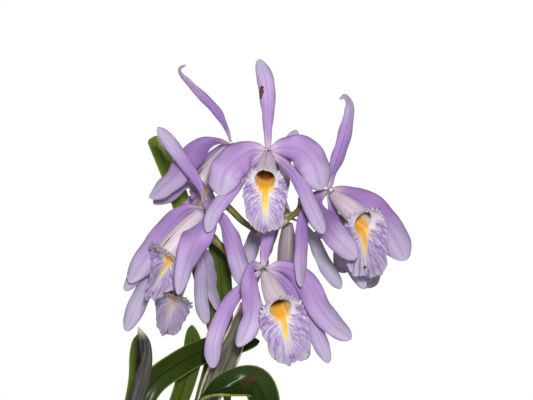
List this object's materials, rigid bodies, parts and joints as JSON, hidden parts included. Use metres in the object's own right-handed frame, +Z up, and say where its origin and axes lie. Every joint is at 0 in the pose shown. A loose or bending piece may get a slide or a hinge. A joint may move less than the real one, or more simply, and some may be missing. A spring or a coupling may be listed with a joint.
{
  "type": "cattleya orchid",
  "caption": "Cattleya orchid in flower in a plain clay pot of bark: ribbed pseudobulbs, leathery leaves and a spray of lilac blooms with ruffled trumpet lips.",
  "frame": {"origin": "centre of the clay pot's underside", "axes": "+Z up along the plant; the blooms face -Y; +X to the right as seen from -Y"},
  "size_m": [0.2377, 0.1787, 0.5701],
  "materials": {
    "clay": "unglazed fired clay, matt",
    "bark": "coarse bark chips",
    "root": "velvety grey-green root skin",
    "pseudobulb": "smooth ribbed green stem",
    "papery_sheath": "dry papery sheath with fibres",
    "dry_spathe": "dry grey fibrous spathe",
    "leaf": "leathery glossy dark green leaf",
    "stem": "waxy olive flower stalk",
    "petal": "soft lilac petal with faint veins",
    "lip": "veined pale lip with a golden throat",
    "column": "waxy pinkish white"
  },
  "bodies": {
    "root": {"pot": "clay", "bark": "bark", "rhizome": "root", "pseudobulb_1": "pseudobulb", "pseudobulb_2": "pseudobulb", "pseudobulb_3": "pseudobulb", "pseudobulb_4": "pseudobulb", "pseudobulb_5": "pseudobulb", "pseudobulb_6": "pseudobulb", "bulb_sheath_1": "papery_sheath", "bulb_sheath_2": "papery_sheath", "bulb_sheath_3": "papery_sheath", "bulb_sheath_4": "papery_sheath", "bulb_sheath_5": "papery_sheath", "bulb_sheath_6": "papery_sheath", "leaf_1": "leaf", "leaf_2": "leaf", "leaf_3": "leaf", "leaf_4": "leaf", "leaf_5": "leaf", "leaf_6": "leaf", "spathe": "papery_sheath", "old_spathe": "dry_spathe", "flower_stalk": "stem", "front_bloom_tepals": "petal", "front_bloom_lip": "lip", "front_bloom_column": "column", "left_bloom_tepals": "petal", "left_bloom_lip": "lip", "left_bloom_column": "column", "upper_left_bloom_tepals": "petal", "upper_left_bloom_lip": "lip", "upper_left_bloom_column": "column", "right_bloom_tepals": "petal", "right_bloom_lip": "lip", "right_bloom_column": "column", "lower_bloom_tepals": "petal", "lower_bloom_lip": "lip", "lower_bloom_column": "column", "back_middle_bloom_tepals": "petal", "back_middle_bloom_lip": "lip", "back_middle_bloom_column": "column", "back_left_bloom_tepals": "petal", "back_left_bloom_lip": "lip", "back_left_bloom_column": "column", "back_right_bloom_tepals": "petal", "back_right_bloom_lip": "lip", "back_right_bloom_column": "column"}
  },
  "joints": []
}
